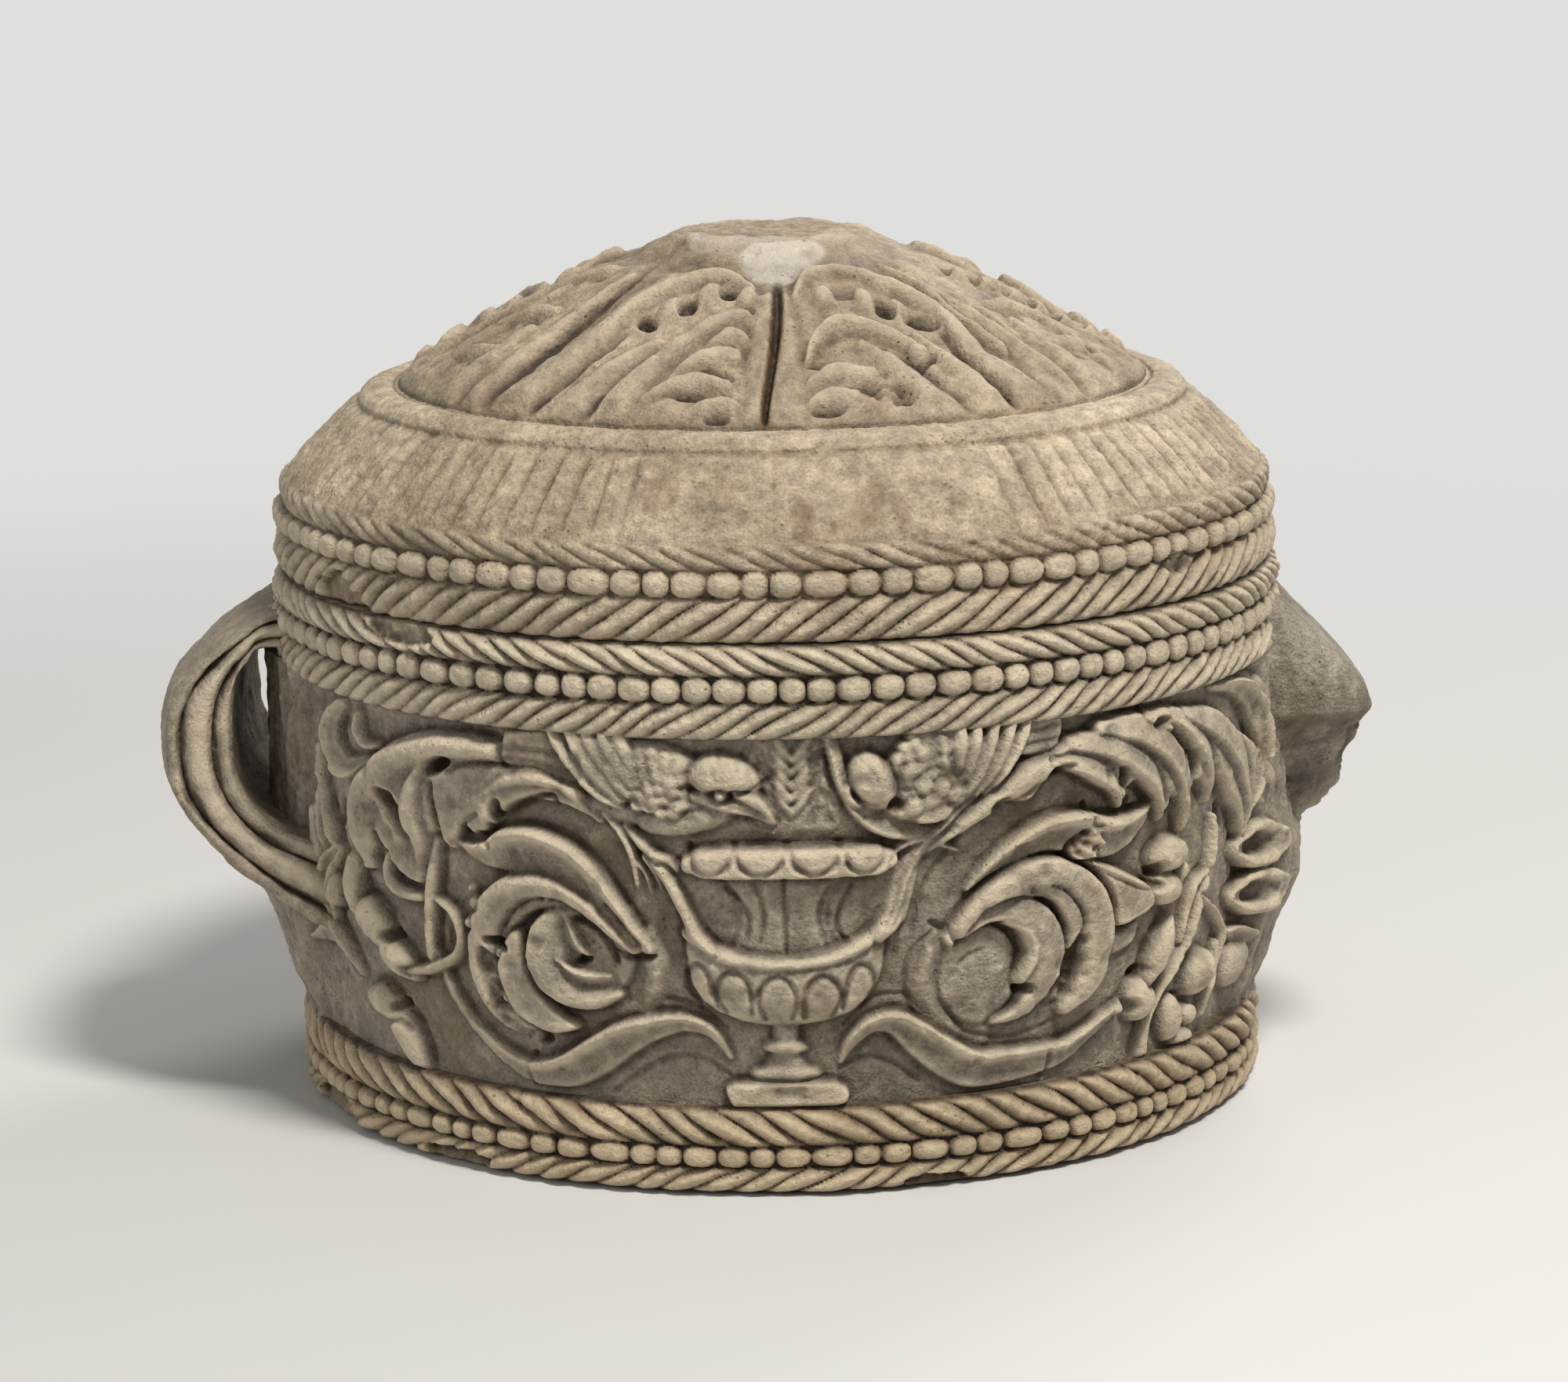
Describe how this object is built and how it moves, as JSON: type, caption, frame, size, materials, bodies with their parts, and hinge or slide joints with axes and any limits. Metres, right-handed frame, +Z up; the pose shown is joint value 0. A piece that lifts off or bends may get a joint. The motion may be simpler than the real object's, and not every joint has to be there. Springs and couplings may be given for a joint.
{
  "type": "cinerary urn",
  "caption": "Round marble cinerary urn carved with rope-and-bead mouldings and scrolls, with a strap handle, a broken handle's stub and a domed lid that lifts off.",
  "frame": {"origin": "on the axis of the round bowl, in the plane of its foot", "axes": "+Z up along the bowl's axis, -Y towards the carved front with the krater, -X towards the whole handle"},
  "size_m": [0.429, 0.3559, 0.297],
  "materials": {
    "urn_marble": "weathered carved marble, grey-beige with brown in the recesses",
    "lid_marble": "weathered carved marble, cream on its upper face"
  },
  "bodies": {
    "bowl": {"urn_body": "urn_marble"},
    "lid": {"lid": "lid_marble"}
  },
  "joints": [
    {"name": "lid_lift", "type": "slide", "parent": "bowl", "child": "lid", "axis": [0, 0, 1], "range_m": [0, 0.2]}
  ]
}
